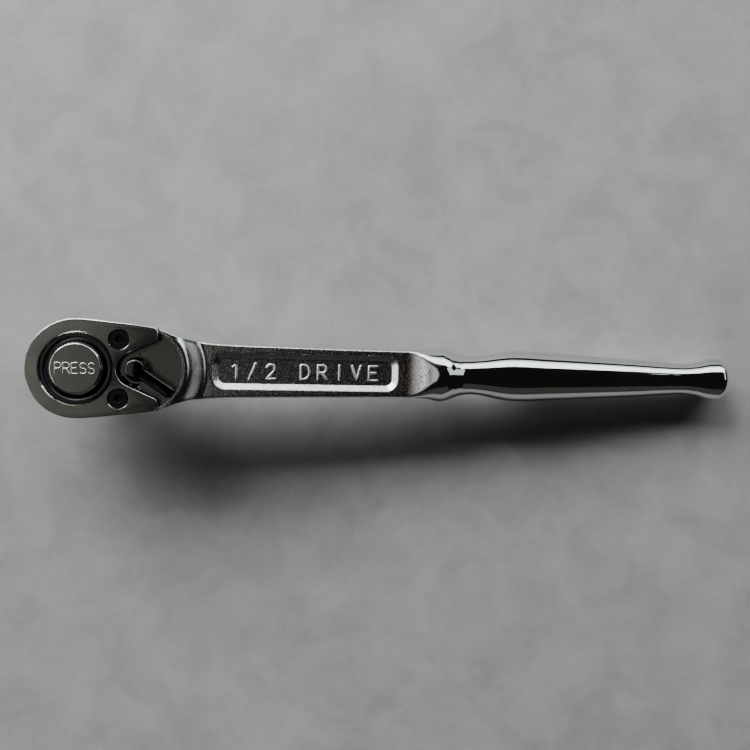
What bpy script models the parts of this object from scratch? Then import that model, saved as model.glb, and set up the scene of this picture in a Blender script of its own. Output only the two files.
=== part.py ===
"""Ratchet wrench: half-inch square drive, pear head, quick release, reversible.

The origin is the centre of the drive square's tip face. +Z runs up the drive axis
to the cover plate and +X runs along the handle. Lengths are in metres.
"""
import math

import bmesh
import bpy
from mathutils import Matrix, Vector

MM = 0.001

# Levels along the drive axis
HEAD_BOTTOM = 16.5 * MM
CAVITY_FLOOR = 20.5 * MM
SEAT = 35.0 * MM
PLATE_BOTTOM = 35.2 * MM
HEAD_TOP = 38.0 * MM

# Head, neck and shank: half width along the handle, as (x, half width)
HEAD_RADIUS = 16.8 * MM
HALF_WIDTH = [
    (0, 16.8), (12, 15.85), (24.5, 14.45), (28.9, 13.1), (32.3, 11.85),
    (35.8, 10.9), (39.4, 10.3), (44, 9.8), (50, 9.45), (60, 9.2),
    (116, 8.45), (120, 8.75), (125, 9.75),
]
NECK_START = 30.0 * MM
NECK_END = 43.0 * MM
BELLY_START = 21.0 * MM
SHANK_HALF_THICKNESS = 5.5 * MM
SHANK_END = 115.0 * MM
SHANK_EDGE = 1.1 * MM
HEAD_LOWER_EDGE = 2.6 * MM
HEAD_UPPER_EDGE = 0.4 * MM

# Round handle: radius along its axis, as (x, radius)
HANDLE_AXIS = 27.0 * MM
COLLAR_RIDGE = 125.0 * MM
HANDLE_RADIUS = [
    (125, 9.75), (126.8, 9.4), (129.5, 8.4), (133, 7.3), (136.2, 6.95), (139.5, 7.25),
    (146.5, 8.6), (151, 9.15), (155, 9.25), (164, 8.8), (183, 7.75), (198, 6.85),
    (209, 6.05), (215.5, 5.75), (220, 6.2), (224.5, 7.4), (227.9, 7.8),
]
KNOB_START = 227.9 * MM
KNOB_RADIUS = 7.8 * MM
KNOB_EDGE = 5.8 * MM
HANDLE_END = 232.0 * MM

# Sunk panel on each face of the shank
PANEL_START = 44.6 * MM
PANEL_END = 109.0 * MM
PANEL_HALF_WIDTH = 6.2 * MM
PANEL_CORNER = 4.3 * MM
PANEL_DEPTH = 1.5 * MM
PANEL_WALL = 2.1 * MM

# Drive gear
TOOTH_COUNT = 48
TOOTH_TIP_RADIUS = 12.9 * MM
TOOTH_ROOT_RADIUS = 12.15 * MM
TOOTH_TIP_HALF_ANGLE = math.radians(0.75)
TOOTH_ROOT_HALF_ANGLE = math.radians(3.0)
GEAR_BOTTOM = 20.8 * MM
TOOTH_TOP = 33.6 * MM
SHOULDER_RADIUS = 12.6 * MM
SHOULDER_TOP = 34.9 * MM
UPPER_JOURNAL = 11.9 * MM
LOWER_JOURNAL = 11.0 * MM
JOURNAL_BOTTOM = 16.0 * MM
DISH_EDGE = 10.9 * MM
JOURNAL_TOP = 37.4 * MM
DISH_TOP = 36.5 * MM
JOURNAL_CLEARANCE = 0.15 * MM
CAVITY_RADIUS = 13.2 * MM

# Drive square, quick-release rod, ball and button
SQUARE = 12.7 * MM
SQUARE_CORNER = 1.3 * MM
SQUARE_CHAMFER = 0.8 * MM
BALL_RADIUS = 2.3 * MM
BALL_HEIGHT = 7.9 * MM
BALL_PROUD = 1.0 * MM
BALL_HOLE = 2.5 * MM
BUTTON_RADIUS = 8.9 * MM
BUTTON_BOTTOM = 35.0 * MM
BUTTON_TOP = 38.8 * MM
BUTTON_BORE = 9.2 * MM
BUTTON_FLOOR = 32.2 * MM
BUTTON_TRAVEL = 2.5 * MM
SPRING_BORE = 5.6 * MM
SPRING_FLOOR = 26.0 * MM
ROD_RADIUS = 2.5 * MM
ROD_BORE = 2.65 * MM
ROD_BOTTOM = 4.6 * MM
ROD_BORE_BOTTOM = 1.8 * MM
ROD_TOP = 37.0 * MM
ROD_STEM = 2.3 * MM
RAMP_SLOPE = BALL_PROUD / BUTTON_TRAVEL
RAMP_GAP = 0.2 * MM
GROOVE_RADIUS = 1.3 * MM

# Reversing lever, which turns about the pivot, and its pocket
PIVOT = Vector((19.7, 0.0, 0.0)) * MM
LEVER_REST = math.radians(-34.0)
LEVER_REACH = 14.8 * MM
LEVER_TOP = 39.7 * MM
BOSS_TOP = 40.4 * MM
BOSS_RADIUS = 3.5 * MM
BOSS_BASE_RADIUS = 4.2 * MM
FLANGE_RADIUS = 4.9 * MM
FLANGE_BOTTOM = 33.9 * MM
FLANGE_TOP = 34.9 * MM
LOBE_RADIUS = 6.7 * MM
LOBE_HALF_ANGLE = math.radians(60.0)
STEM_RADIUS = 3.2 * MM
STEM_BOTTOM = 21.3 * MM
STEM_JOURNAL = 2.2 * MM
STEM_JOURNAL_BOTTOM = 18.6 * MM
POCKET_CENTRE = 21.0 * MM
POCKET_RADIUS = 14.1 * MM
RIM_RADIUS = 15.1 * MM
NECK_RADIUS = 22.0 * MM
NOTCH_CENTRE = Vector((19.0, 0.0)) * MM
NOTCH_RADIUS = 5.85 * MM
NOTCH_ANGLE = math.radians(24.6)
HORN_END = 26.9 * MM

# Pawl, which rocks in a round pocket between the gear and the lever's stem
PAWL_CENTRE = Vector((15.0, 0.0, 0.0)) * MM
PAWL_RADIUS = 7.3 * MM
PAWL_POCKET = 7.5 * MM
PAWL_ROCK = math.radians(11.0)
PAWL_BOTTOM = 21.5 * MM
PAWL_TOP = 32.3 * MM
PAWL_TEETH = [math.radians(18.75), math.radians(26.25)]
PAWL_TIP_RADIUS = 12.35 * MM
PAWL_BASE_RADIUS = 13.15 * MM
STEM_RELIEF = 3.9 * MM

# Detent plunger and spring in a cross hole of the stem
DETENT_HEIGHT = 27.4 * MM
PLUNGER_RADIUS = 1.3 * MM
PLUNGER_REACH = 3.9 * MM
PLUNGER_TAIL = 0.4 * MM
DETENT_HOLE = 1.4 * MM
DETENT_HOLE_END = 1.9 * MM

# Cover screws
SCREW_X = 14.0 * MM
SCREW_Y = 9.95 * MM
SCREW_HEAD = 3.25 * MM
SCREW_SHANK = 1.5 * MM
SCREW_TOP = 37.7 * MM
SCREW_BOTTOM = 30.0 * MM
SOCKET_FLATS = 2.5 * MM
SOCKET_DEPTH = 1.6 * MM


def clear_scene():
    for leftover in list(bpy.data.objects):
        bpy.data.objects.remove(leftover, do_unlink=True)


def finish(name, colour, roughness, metallic=1.0):
    made = bpy.data.materials.new(name)
    made.use_nodes = True
    shader = made.node_tree.nodes["Principled BSDF"]
    shader.inputs["Base Color"].default_value = (*colour, 1.0)
    shader.inputs["Roughness"].default_value = roughness
    shader.inputs["Metallic"].default_value = metallic
    return made


def place(name, mesh_build, material=None, at=(0, 0, 0), turn=0.0, parent=None):
    """A named object from a bmesh, at a place and a turn about +Z under its parent."""
    bmesh.ops.remove_doubles(mesh_build, verts=mesh_build.verts, dist=0.0005 * MM)
    bmesh.ops.recalc_face_normals(mesh_build, faces=mesh_build.faces)
    mesh = bpy.data.meshes.new(name)
    mesh_build.to_mesh(mesh)
    mesh_build.free()
    mesh.shade_smooth()
    mesh.set_sharp_from_angle(angle=math.radians(32))
    made = bpy.data.objects.new(name, mesh)
    bpy.context.scene.collection.objects.link(made)
    made.location = at
    made.rotation_euler = (0, 0, turn)
    made.parent = parent
    if material:
        mesh.materials.append(material)
    return made


def combine(target, tool, operation="DIFFERENCE"):
    """Cuts the tool from the target, or joins it on, and hides the tool."""
    tool.hide_render = True
    tool.display_type = "WIRE"
    step = target.modifiers.new(tool.name, "BOOLEAN")
    step.operation = operation
    step.solver = "EXACT"
    step.object = tool


def polar(radius, angle):
    return Vector((radius * math.cos(angle), radius * math.sin(angle)))


def arc(centre, radius, start, end, steps):
    """Points of an arc from one angle to another, both ends included."""
    turn = (end - start) / steps
    return [Vector(centre) + polar(radius, start + turn * i) for i in range(steps + 1)]


def mirrored(points):
    """The same points on the other side of the X axis, in reverse order."""
    return [Vector((p.x, -p.y)) for p in reversed(points)]


def through(stations, x):
    """Value at x of the smooth curve through (x, value) stations, without overshoot."""
    knots = [(a * MM, b * MM) for a, b in stations]
    if x <= knots[0][0]:
        return knots[0][1]
    if x >= knots[-1][0]:
        return knots[-1][1]
    rises = [(b[1] - a[1]) / (b[0] - a[0]) for a, b in zip(knots, knots[1:])]
    slopes = [0.0]
    for before, after in zip(rises, rises[1:]):
        same_way = before * after > 0
        slopes.append(2 * before * after / (before + after) if same_way else 0.0)
    slopes.append(0.0)
    i = max(k for k in range(len(rises)) if knots[k][0] <= x)
    width = knots[i + 1][0] - knots[i][0]
    t = (x - knots[i][0]) / width
    rise = knots[i + 1][1] - knots[i][1]
    bend = slopes[i] * width * t * (1 - t) ** 2 - slopes[i + 1] * width * t**2 * (1 - t)
    return knots[i][1] + rise * t * t * (3 - 2 * t) + bend


def between(x, start, end):
    """How far x is from start to end, from 0 to 1."""
    return min(max((x - start) / (end - start), 0.0), 1.0)


def mix(a, b, t):
    return a + (b - a) * t


def add_loop(build, points):
    """A closed loop of edges through 3D points."""
    verts = [build.verts.new(p) for p in points]
    pairs = zip(verts, verts[1:] + verts[:1])
    return [build.edges.new(pair) for pair in pairs]


def loft(build, loops):
    for lower, upper in zip(loops, loops[1:]):
        bmesh.ops.bridge_loops(build, edges=lower + upper)


def cap(build, loop):
    bmesh.ops.edgeloop_fill(build, edges=loop)


def extruded(outline, bottom, top):
    """A prism on an outline of 2D points."""
    build = bmesh.new()
    face = build.faces.new([build.verts.new((p.x, p.y, bottom)) for p in outline])
    result = bmesh.ops.extrude_face_region(build, geom=[face])
    raised = [v for v in result["geom"] if isinstance(v, bmesh.types.BMVert)]
    bmesh.ops.translate(build, verts=raised, vec=(0, 0, top - bottom))
    return build


def turned(profile, steps=48, centre=(0, 0, 0)):
    """A solid of revolution about +Z from (radius, height) points, top to bottom."""
    build = bmesh.new()
    closed = [(0.0, profile[0][1]), *profile, (0.0, profile[-1][1])]
    verts = [build.verts.new((r, 0, z)) for r, z in closed]
    edges = [build.edges.new(pair) for pair in zip(verts, verts[1:])]
    bmesh.ops.spin(
        build, geom=verts + edges, cent=(0, 0, 0), axis=(0, 0, 1), dvec=(0, 0, 0),
        angle=math.tau, steps=steps, use_merge=True, use_duplicate=False,
    )
    bmesh.ops.remove_doubles(build, verts=build.verts, dist=0.0005 * MM)
    bmesh.ops.translate(build, verts=build.verts, vec=centre)
    return build


def lay_along_x(build, z):
    """Turns a solid made about +Z so that its axis runs along -X at height z."""
    spun = Matrix.Rotation(math.radians(-90), 3, "Y")
    bmesh.ops.rotate(build, verts=build.verts, cent=(0, 0, 0), matrix=spun)
    bmesh.ops.translate(build, verts=build.verts, vec=(0, 0, z))
    return build


def bevel_edges(build, chosen, width, segments):
    bmesh.ops.bevel(
        build, geom=chosen, offset=width, segments=segments, profile=0.5,
        affect="EDGES", material=-1, clamp_overlap=True,
    )


def edges_at(build, z):
    near = 0.001 * MM
    return [e for e in build.edges if all(abs(v.co.z - z) < near for v in e.verts)]


def crown(x, y, shank_top):
    """Height of the top face, which falls to the shank beyond an arc round the pocket."""
    if x <= POCKET_CENTRE:
        return HEAD_TOP
    past = between(math.hypot(x - POCKET_CENTRE, y), RIM_RADIUS, NECK_RADIUS)
    return mix(HEAD_TOP, shank_top, past * past * (3 - 2 * past))


def body_section(x):
    """Half width, bottom, shank top, lower and upper edge radius and roundness at x."""
    if x >= COLLAR_RIDGE:
        radius = through(HANDLE_RADIUS, x)
        if x > KNOB_START:
            past = (x - KNOB_START) / (HANDLE_END - KNOB_START)
            radius = KNOB_RADIUS - KNOB_EDGE * (1 - math.sqrt(1 - past * past))
        return radius, HANDLE_AXIS - radius, HANDLE_AXIS + radius, radius, radius, 1.0
    half = through(HALF_WIDTH, x)
    ramp = math.sin(between(x, SHANK_END, COLLAR_RIDGE) * math.pi / 2)
    thick = mix(SHANK_HALF_THICKNESS, HALF_WIDTH[-1][1] * MM, ramp)
    neck = between(x, NECK_START, NECK_END)
    belly = between(x, BELLY_START, NECK_END)
    bottom = mix(HEAD_BOTTOM, HANDLE_AXIS - thick, belly * belly * (3 - 2 * belly))
    edge = mix(SHANK_EDGE, min(half, thick), ramp)
    lower = mix(HEAD_LOWER_EDGE, edge, belly)
    upper = mix(HEAD_UPPER_EDGE, edge, neck)
    return half, bottom, HANDLE_AXIS + thick, lower, upper, ramp


def section_points(x):
    """Right half of the body's section at x, from its top middle to its bottom middle."""
    half, bottom, shank_top, lower, upper, roundness = body_section(x)
    corner_steps = 6
    across = 3
    step = mix(math.radians(90), math.radians(78), roundness) / corner_steps
    turn = math.radians(45) + step * corner_steps / 2
    flat = half - upper
    corner_height = crown(x, flat, shank_top) - upper
    points = []
    for i in range(across):
        y = (flat + upper * math.cos(turn)) * i / across
        rounding = math.sqrt(upper**2 - max(y - flat, 0.0) ** 2) - upper
        points.append((y, crown(x, min(y, flat), shank_top) + rounding))
    for radius, height, first in ((upper, corner_height, turn),
                                  (lower, bottom + lower, turn - math.pi / 2)):
        for i in range(corner_steps + 1):
            spoke = polar(radius, first - step * i)
            points.append((half - radius + spoke.x, height + spoke.y))
    points.append((0.0, bottom))
    return points


def make_handle_body(chrome):
    """Forged body: the nose is a turned section, the rest a loft along the handle."""
    stations = [0, 6, 12, 18, 21, 24.5, 27, 28.9, 30.6, 32.3, 34, 35.5, 36.5, 37.5, 38.7]
    stations += [40, 41.5, 43, 46, 50, 60, 85, 115, 115.6, 116.8, 118.3, 120, 121.7]
    stations += [123.3, 125, 126, 127.3, 129.5, 131.3, 133, 134.7, 136.2, 137.8, 139.5]
    stations += [141.8, 144.2, 146.5, 148.8, 151, 153, 155, 159, 164, 173, 183, 191, 198]
    stations += [204, 209, 212.5, 215.5, 217.8, 220, 222.3, 224.5, 226.2, 227.9]
    knob_steps = 6
    for i in range(1, knob_steps):
        turn = math.pi / 2 * i / knob_steps
        stations.append(mix(KNOB_START, HANDLE_END, math.sin(turn)) / MM)
    build = bmesh.new()
    loops = []
    for x in (station * MM for station in stations):
        right = section_points(x)
        left = [(-y, z) for y, z in reversed(right[1:-1])]
        loops.append(add_loop(build, [(x, y, z) for y, z in right + left]))
    loft(build, loops)
    cap(build, loops[-1])
    nose = [e for e in loops[0] if all(v.co.y > -0.01 * MM for v in e.verts)]
    nose_verts = list({v for e in nose for v in e.verts})
    bmesh.ops.spin(
        build, geom=nose_verts + nose, cent=(0, 0, 0), axis=(0, 0, 1), dvec=(0, 0, 0),
        angle=math.pi, steps=16, use_merge=False, use_duplicate=False,
    )
    bmesh.ops.remove_doubles(build, verts=build.verts, dist=0.001 * MM)
    body = place("handle_body", build, chrome)

    wide = 2 * HEAD_RADIUS
    rim_start = HORN_END + 0.4 * MM
    sweep = math.acos((rim_start - POCKET_CENTRE) / POCKET_RADIUS)
    seat = arc((POCKET_CENTRE, 0), POCKET_RADIUS, -sweep, sweep, 28)
    seat += [Vector((rim_start, wide)), Vector((-wide, wide))]
    seat += [Vector((-wide, -wide)), Vector((rim_start, -wide))]
    combine(body, place("cut_plate_seat", extruded(seat, SEAT, SEAT + wide)))
    above = HEAD_TOP + MM
    below = HEAD_BOTTOM - MM
    journal = LOWER_JOURNAL + JOURNAL_CLEARANCE
    bore = [(CAVITY_RADIUS, above), (CAVITY_RADIUS, CAVITY_FLOOR)]
    bore += [(journal, CAVITY_FLOOR), (journal, below)]
    combine(body, place("cut_gear_cavity", turned(bore, 60)))
    pocket_floor = CAVITY_FLOOR + 0.5 * MM
    pocket = turned([(PAWL_POCKET, above), (PAWL_POCKET, pocket_floor)], 48, PAWL_CENTRE)
    combine(body, place("cut_pawl_pocket", pocket))
    gap = 0.2 * MM
    swing = abs(LEVER_REST) + math.radians(4)
    recess = flange_outline(gap, LOBE_HALF_ANGLE + swing)
    flange = extruded(recess, FLANGE_BOTTOM - gap, above)
    combine(body, place("cut_flange_recess", flange, at=PIVOT))
    stem = [(STEM_RADIUS + gap, above), (STEM_RADIUS + gap, STEM_BOTTOM - gap)]
    stem += [(STEM_JOURNAL + gap, STEM_BOTTOM - gap)]
    stem += [(STEM_JOURNAL + gap, STEM_JOURNAL_BOTTOM - gap)]
    combine(body, place("cut_stem_bearing", turned(stem, 40, PIVOT)))
    tapped = SCREW_SHANK + 0.15 * MM
    for side in (1, -1):
        hole = turned([(tapped, above), (tapped, SCREW_BOTTOM - 0.5 * MM)], 20)
        spot = (SCREW_X, side * SCREW_Y, 0)
        combine(body, place(f"cut_tapped_hole_{side}", hole, at=spot))
        panel = place(f"cut_shank_panel_{side}", panel_cutter(side))
        combine(body, panel)
    return body


def panel_ring(inset, steps=6):
    """Rounded outline of the shank panel, drawn in from its edge by an inset."""
    corner = PANEL_CORNER - inset
    left = PANEL_START + PANEL_CORNER
    right = PANEL_END - PANEL_CORNER
    high = PANEL_HALF_WIDTH - PANEL_CORNER
    quarter = math.pi / 2
    corners = [((right, high), 0), ((left, high), 1), ((left, -high), 2), ((right, -high), 3)]
    points = []
    for centre, turn in corners:
        points += arc(centre, corner, turn * quarter, (turn + 1) * quarter, steps)
    return points


def panel_cutter(side):
    """Tapered plug that sinks the panel into the upper (1) or lower (-1) face."""
    build = bmesh.new()
    face = SHANK_HALF_THICKNESS
    spare = 0.5 * MM
    flare = spare * PANEL_WALL / PANEL_DEPTH
    levels = [(PANEL_WALL, face - PANEL_DEPTH), (-flare, face + spare)]
    loops = []
    for inset, height in levels:
        z = HANDLE_AXIS + side * height
        loops.append(add_loop(build, [(p.x, p.y, z) for p in panel_ring(inset)]))
    loft(build, loops)
    cap(build, loops[0])
    cap(build, loops[1])
    return build


def plate_half_outline():
    """Upper half of the plate's outline, from the nose round the horn to the notch."""
    points = arc((0, 0), HEAD_RADIUS, math.pi, math.pi / 2, 16)
    corner = 2.0 * MM
    last = HORN_END - corner
    for x in (4, 8, 12, 16, 20):
        points.append(Vector((x * MM, through(HALF_WIDTH, x * MM))))
    side = through(HALF_WIDTH, last)
    points += arc((last, side - corner), corner, math.pi / 2, 0, 6)
    tangent = NOTCH_ANGLE + math.pi / 2
    wall_start = NOTCH_CENTRE + polar(NOTCH_RADIUS, tangent)
    inner = 1.2 * MM
    centre_x = HORN_END - inner
    run = centre_x - wall_start.x + inner * math.sin(NOTCH_ANGLE)
    wall_y = wall_start.y + run * math.tan(NOTCH_ANGLE)
    centre_y = wall_y + inner * math.cos(NOTCH_ANGLE)
    points += arc((centre_x, centre_y), inner, 0, NOTCH_ANGLE - math.pi / 2, 4)
    points += arc(NOTCH_CENTRE, NOTCH_RADIUS, tangent, math.pi, 8)
    return points


def make_cover_plate(steel):
    half = plate_half_outline()
    outline = half + mirrored(half[1:-1])
    build = extruded(outline, PLATE_BOTTOM, HEAD_TOP)
    bevel_edges(build, edges_at(build, HEAD_TOP), 0.4 * MM, 2)
    plate = place("cover_plate", build, steel)
    bore = UPPER_JOURNAL + 0.2 * MM
    chamfer = 0.4 * MM
    above = HEAD_TOP + MM
    profile = [(bore + chamfer + MM, above), (bore, HEAD_TOP - chamfer)]
    profile.append((bore, PLATE_BOTTOM - MM))
    combine(plate, place("cut_gear_bore", turned(profile, 60)))
    gap = 0.2 * MM
    head = SCREW_HEAD + gap
    shank = SCREW_SHANK + gap
    sink = SCREW_TOP - 0.1 * MM
    profile = [(head, above), (head, sink), (shank, sink - head + shank)]
    profile.append((shank, PLATE_BOTTOM - MM))
    for side in (1, -1):
        spot = (SCREW_X, side * SCREW_Y, 0)
        hole = place(f"cut_screw_hole_{side}", turned(profile, 28), at=spot)
        combine(plate, hole)
    return plate


def make_cover_screw(name, side, steel):
    """Countersunk screw with a hexagon socket."""
    edge = 0.2 * MM
    cone_top = SCREW_TOP - edge
    cone_bottom = cone_top - SCREW_HEAD + SCREW_SHANK
    point = 0.4 * MM
    profile = [(SCREW_HEAD - edge, SCREW_TOP), (SCREW_HEAD, cone_top)]
    profile += [(SCREW_SHANK, cone_bottom), (SCREW_SHANK, SCREW_BOTTOM + point)]
    profile.append((SCREW_SHANK - point, SCREW_BOTTOM))
    spot = (SCREW_X, side * SCREW_Y, 0)
    screw = place(name, turned(profile, 20), steel, at=spot)
    reach = SOCKET_FLATS / math.sqrt(3)
    hexagon = arc((0, 0), reach, 0, math.tau * 5 / 6, 5)
    socket = extruded(hexagon, SCREW_TOP - SOCKET_DEPTH, SCREW_TOP + MM)
    combine(screw, place(f"cut_{name}_socket", socket, at=spot))
    return screw


def gear_outline():
    points = []
    for tooth in range(TOOTH_COUNT):
        middle = math.tau * tooth / TOOTH_COUNT
        points.append(polar(TOOTH_ROOT_RADIUS, middle - TOOTH_ROOT_HALF_ANGLE))
        points.append(polar(TOOTH_TIP_RADIUS, middle - TOOTH_TIP_HALF_ANGLE))
        points.append(polar(TOOTH_TIP_RADIUS, middle + TOOTH_TIP_HALF_ANGLE))
        points.append(polar(TOOTH_ROOT_RADIUS, middle + TOOTH_ROOT_HALF_ANGLE))
    return points


def square_outline(half, corner, steps=4):
    points = []
    inner = half - corner
    for turn in range(4):
        start = turn * math.pi / 2
        centre = Matrix.Rotation(start, 2) @ Vector((inner, inner))
        points += arc(centre, corner, start, start + math.pi / 2, steps)
    return points


def make_drive_gear(steel):
    """Toothed ring, journals and drive square in one piece, bored for the release."""
    gear = place("drive_gear", extruded(gear_outline(), GEAR_BOTTOM, TOOTH_TOP), steel)
    edge = 0.3 * MM
    inside = 1.0 * MM
    profile = [(BUTTON_BORE - inside, DISH_TOP), (BUTTON_BORE, DISH_TOP)]
    profile += [(DISH_EDGE, JOURNAL_TOP), (UPPER_JOURNAL - edge, JOURNAL_TOP)]
    profile += [(UPPER_JOURNAL, JOURNAL_TOP - edge), (UPPER_JOURNAL, SHOULDER_TOP)]
    profile += [(SHOULDER_RADIUS, SHOULDER_TOP), (SHOULDER_RADIUS, TOOTH_TOP - inside)]
    profile += [(LOWER_JOURNAL, TOOTH_TOP - inside), (LOWER_JOURNAL, JOURNAL_BOTTOM + edge)]
    profile.append((LOWER_JOURNAL - edge, JOURNAL_BOTTOM))
    combine(gear, place("add_journals", turned(profile, 60)), "UNION")
    outline = square_outline(SQUARE / 2, SQUARE_CORNER)
    square = extruded(outline, 0, JOURNAL_BOTTOM + inside)
    bevel_edges(square, edges_at(square, 0), SQUARE_CHAMFER, 2)
    combine(gear, place("add_square", square), "UNION")
    above = JOURNAL_TOP + inside
    profile = [(BUTTON_BORE, above), (BUTTON_BORE, BUTTON_FLOOR)]
    profile += [(SPRING_BORE, BUTTON_FLOOR), (SPRING_BORE, SPRING_FLOOR)]
    profile += [(ROD_BORE, SPRING_FLOOR), (ROD_BORE, ROD_BORE_BOTTOM)]
    combine(gear, place("cut_release_bore", turned(profile, 40)))
    hole = turned([(BALL_HOLE, 0.0), (BALL_HOLE, -SQUARE / 2 - inside)], 20)
    aim = Matrix.Rotation(math.radians(-90), 3, "X")
    bmesh.ops.rotate(hole, verts=hole.verts, cent=(0, 0, 0), matrix=aim)
    combine(gear, place("cut_ball_hole", hole, at=(0, 0, BALL_HEIGHT)))
    return gear


def make_drive_ball(steel, gear):
    build = bmesh.new()
    bmesh.ops.create_uvsphere(build, u_segments=20, v_segments=12, radius=BALL_RADIUS)
    centre = -(SQUARE / 2 + BALL_PROUD - BALL_RADIUS)
    return place("drive_ball", build, steel, at=(0, centre, BALL_HEIGHT), parent=gear)


def make_push_button(steel, gear):
    edge = 0.7 * MM
    soft = 0.2 * MM
    profile = [(BUTTON_RADIUS - edge, BUTTON_TOP), (BUTTON_RADIUS, BUTTON_TOP - edge)]
    profile += [(BUTTON_RADIUS, BUTTON_BOTTOM + soft), (BUTTON_RADIUS - soft, BUTTON_BOTTOM)]
    button = place("push_button", turned(profile, 56), steel, parent=gear)
    hole = ROD_STEM + 0.15 * MM
    profile = [(hole, ROD_TOP + soft), (hole, BUTTON_BOTTOM - MM)]
    combine(button, place("cut_rod_seat", turned(profile, 24)))
    return button


def make_release_rod(steel, button):
    """Rod whose cone lets the ball sink as the button goes down."""
    ball_centre = SQUARE / 2 + BALL_PROUD - BALL_RADIUS
    slant = math.sqrt(1 + RAMP_SLOPE**2)
    ramp_at_ball = ball_centre - (BALL_RADIUS + RAMP_GAP) * slant
    ramp_bottom = BALL_HEIGHT - (ROD_RADIUS - ramp_at_ball) / RAMP_SLOPE
    ramp_top = BALL_HEIGHT + (ramp_at_ball - GROOVE_RADIUS) / RAMP_SLOPE
    groove_top = BALL_HEIGHT + BUTTON_TRAVEL + BALL_RADIUS + 0.4 * MM
    shoulder = groove_top + ROD_RADIUS - GROOVE_RADIUS
    edge = 0.4 * MM
    step = BUTTON_BOTTOM - 0.3 * MM
    profile = [(ROD_STEM - edge, ROD_TOP), (ROD_STEM, ROD_TOP - edge), (ROD_STEM, step)]
    profile += [(ROD_RADIUS, step), (ROD_RADIUS, shoulder), (GROOVE_RADIUS, groove_top)]
    profile += [(GROOVE_RADIUS, ramp_top), (ROD_RADIUS, ramp_bottom)]
    profile += [(ROD_RADIUS, ROD_BOTTOM + edge), (ROD_RADIUS - edge, ROD_BOTTOM)]
    return place("release_rod", turned(profile, 20), steel, parent=button)


def make_spring(name, wire, radius, bottom, top, turns, steel, at=(0, 0, 0), parent=None):
    """Coil spring along the curve's own +Z, as a round wire on a helix."""
    curve = bpy.data.curves.new(name, "CURVE")
    curve.dimensions = "3D"
    curve.bevel_depth = wire
    curve.bevel_resolution = 1
    curve.use_fill_caps = True
    steps = 10
    count = round(turns * steps) + 1
    path = curve.splines.new("POLY")
    path.points.add(count - 1)
    for i, point in enumerate(path.points):
        spoke = polar(radius, math.tau * i / steps)
        z = mix(bottom + wire, top - wire, i / (count - 1))
        point.co = (spoke.x, spoke.y, z, 1.0)
    curve.materials.append(steel)
    made = bpy.data.objects.new(name, curve)
    bpy.context.scene.collection.objects.link(made)
    made.location = at
    made.parent = parent
    return made


def make_reverse_lever(black):
    """Thumb lever, flange and stem in one piece, its rib along the object's +X."""
    soft = 0.5 * MM
    skirt = 36.8 * MM
    profile = [(BOSS_RADIUS - 2 * soft, BOSS_TOP), (BOSS_RADIUS - soft, BOSS_TOP - soft / 3)]
    profile += [(BOSS_RADIUS, BOSS_TOP - 1.5 * soft), (BOSS_RADIUS, skirt + soft)]
    profile += [(BOSS_BASE_RADIUS, skirt - soft), (BOSS_BASE_RADIUS, FLANGE_TOP)]
    profile += [(STEM_RADIUS, FLANGE_TOP), (STEM_RADIUS, STEM_BOTTOM)]
    profile += [(STEM_JOURNAL, STEM_BOTTOM), (STEM_JOURNAL, STEM_JOURNAL_BOTTOM)]
    lever = place("reverse_lever", turned(profile, 36), black, at=PIVOT, turn=LEVER_REST)
    flange = extruded(flange_outline(), FLANGE_BOTTOM, FLANGE_TOP)
    combine(lever, place("add_flange", flange, at=PIVOT, turn=LEVER_REST), "UNION")
    build = extruded(rib_outline(), SEAT + 0.5 * MM, LEVER_TOP)
    bevel_edges(build, edges_at(build, LEVER_TOP), 0.7 * MM, 3)
    rib = place("add_rib", build, at=PIVOT, turn=LEVER_REST)
    combine(lever, rib, "UNION")
    length = STEM_RADIUS + DETENT_HOLE_END + MM
    hole = turned([(DETENT_HOLE, length), (DETENT_HOLE, 0.0)], 20)
    lay_along_x(hole, DETENT_HEIGHT)
    bmesh.ops.translate(hole, verts=hole.verts, vec=(DETENT_HOLE_END, 0, 0))
    combine(lever, place("cut_detent_hole", hole, at=PIVOT, turn=LEVER_REST))
    return lever


def flange_outline(gap=0.0, half_angle=LOBE_HALF_ANGLE):
    """Round flange whose lobe, away from the rib, stays trapped under the cover."""
    lobe = arc((0, 0), LOBE_RADIUS + gap, math.pi - half_angle, math.pi + half_angle, 14)
    rest = arc((0, 0), FLANGE_RADIUS + gap, half_angle - math.pi, math.pi - half_angle, 20)
    return lobe + rest


def rib_outline():
    """Plan of the lever's rib, a little narrower at its rounded tip."""
    root = 2.05 * MM
    tip = 1.95 * MM
    corner = 1.0 * MM
    end = LEVER_REACH - corner
    points = [Vector((0.5 * MM, -root))]
    points += arc((end, corner - tip), corner, -math.pi / 2, 0, 4)
    points += arc((end, tip - corner), corner, 0, math.pi / 2, 4)
    points.append(Vector((0.5 * MM, root)))
    return points


def make_detent_plunger(steel, lever):
    """Cup-shaped plunger whose domed end faces the pawl along the lever's -X."""
    wall = 0.45 * MM
    dome = 1.0 * MM
    inner = PLUNGER_RADIUS - wall
    base = PLUNGER_REACH - dome
    profile = []
    for i in range(1, 5):
        turn = math.pi / 2 * i / 4
        profile.append((PLUNGER_RADIUS * math.sin(turn), base + dome * math.cos(turn)))
    profile[-1] = (PLUNGER_RADIUS, base)
    profile += [(PLUNGER_RADIUS, PLUNGER_TAIL), (inner, PLUNGER_TAIL), (inner, base - dome)]
    build = turned(profile, 20)
    lay_along_x(build, DETENT_HEIGHT)
    return place("detent_plunger", build, steel, parent=lever)


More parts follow.
